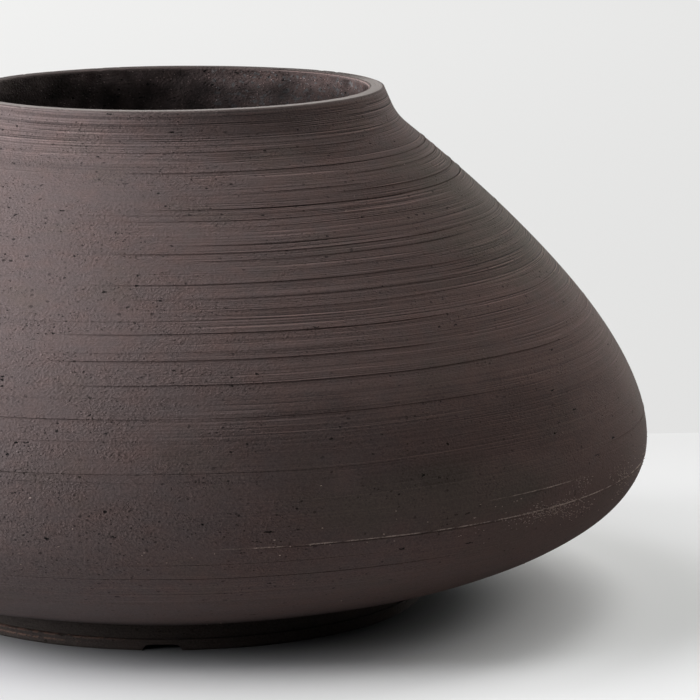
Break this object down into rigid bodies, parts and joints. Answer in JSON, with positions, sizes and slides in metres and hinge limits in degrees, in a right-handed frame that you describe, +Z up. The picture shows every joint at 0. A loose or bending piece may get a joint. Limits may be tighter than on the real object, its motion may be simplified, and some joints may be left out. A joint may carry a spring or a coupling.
{
  "type": "black clay pot",
  "caption": "Low, wide-bellied vessel of matte black clay with a sloping shoulder, a short collar with a flat lip, a wide open mouth and a stepped foot ring with notches.",
  "frame": {"origin": "centre of the foot ring's ground face, on the pot's axis", "axes": "+Z up along the pot's axis through the mouth; a notch of the foot ring faces -Y"},
  "size_m": [0.3799, 0.38, 0.2066],
  "materials": {
    "scraped_clay": "matte, unglazed, with fine turned grooves and grog pits",
    "rough_clay": "matte, unglazed, open grogged texture"
  },
  "bodies": {
    "root": {"foot_ring": "scraped_clay", "floor_disc": "rough_clay", "lower_bowl": "scraped_clay", "shoulder": "scraped_clay", "rim_collar": "scraped_clay"}
  },
  "joints": []
}
